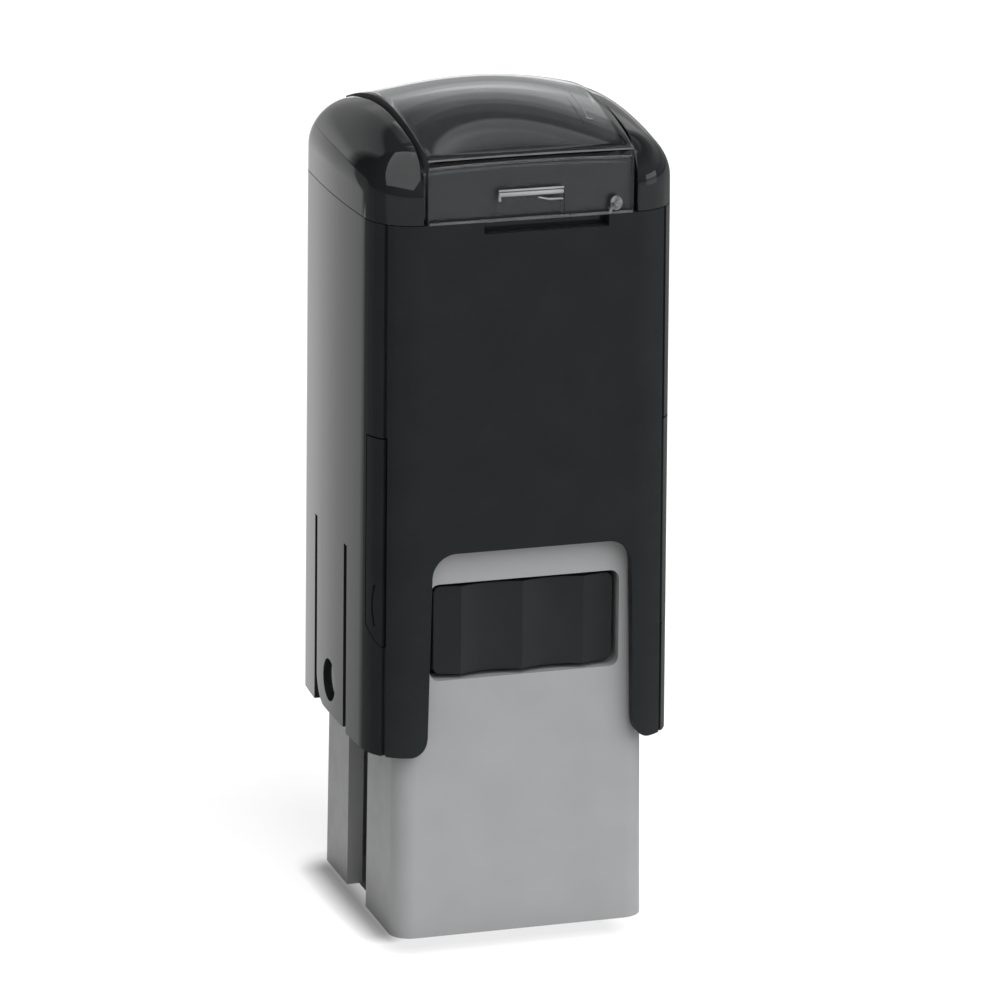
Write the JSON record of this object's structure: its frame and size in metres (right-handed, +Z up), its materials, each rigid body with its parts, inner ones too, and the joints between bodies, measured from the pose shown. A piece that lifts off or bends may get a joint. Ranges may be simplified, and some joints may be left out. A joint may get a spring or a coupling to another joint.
{
  "type": "self-inking stamp",
  "caption": "Square self-inking stamp: a black cap slides down over a grey base, and the type carrier inside flips from the ink pad to the paper.",
  "frame": {"origin": "middle of the footprint, on the surface that the base stands on", "axes": "+Z up towards the cap's domed top, -Y the front with the lock buttons, +X to the right seen from the front"},
  "size_m": [0.0262, 0.0246, 0.0702],
  "materials": {
    "matte_black": "fine-grained black plastic",
    "gloss_black": "polished black plastic",
    "grey_plastic": "satin mid grey plastic",
    "cartridge_black": "satin black plastic",
    "smoky_clear": "smoky clear polished plastic",
    "dark_card": "plain dark card",
    "inked_felt": "inked felt",
    "carrier_plastic": "dark grey plastic",
    "spring_steel": "drawn spring wire",
    "die_foam": "cream foam",
    "die_rubber": "brick red rubber"
  },
  "bodies": {
    "base": {"base_frame": "grey_plastic", "ink_cartridge": "cartridge_black", "ink_pad": "inked_felt", "compression_spring": "spring_steel"},
    "cap": {"cap_housing": "matte_black", "top_cover": "gloss_black", "index_card": "dark_card"},
    "lens": {"index_lens": "smoky_clear"},
    "lock_left": {"lock_button_left": "gloss_black"},
    "lock_right": {"lock_button_right": "gloss_black"},
    "carrier": {"type_carrier": "carrier_plastic", "axle_pin_left": "carrier_plastic", "axle_pin_right": "carrier_plastic", "cam_pin_left": "carrier_plastic", "cam_pin_right": "carrier_plastic", "die_cushion": "die_foam", "text_plate": "die_rubber"}
  },
  "joints": [
    {"name": "cap_slide", "type": "slide", "parent": "base", "child": "cap", "axis": [0, 0, -1], "range_m": [0, 0.013], "stiffness_N_per_m": 700, "springref_m": -0.006, "deforming": ["compression_spring"]},
    {"name": "carrier_flip", "type": "hinge", "parent": "cap", "child": "carrier", "pos_m": [0, 0.0004, 0.0195], "axis": [1, 0, 0], "range_deg": [0, 180]},
    {"name": "lens_lift", "type": "slide", "parent": "cap", "child": "lens", "axis": [0, 0, 1], "range_m": [0, 0.012]},
    {"name": "lock_press_left", "type": "slide", "parent": "cap", "child": "lock_left", "axis": [0.891, 0.454, 0], "range_m": [0, 0.0004], "stiffness_N_per_m": 300},
    {"name": "lock_press_right", "type": "slide", "parent": "cap", "child": "lock_right", "axis": [-0.891, 0.454, 0], "range_m": [0, 0.0004], "stiffness_N_per_m": 300}
  ],
  "couplings": [
    {"joint": "carrier_flip", "follows": "cap_slide", "rad_per_m": 241.66}
  ]
}
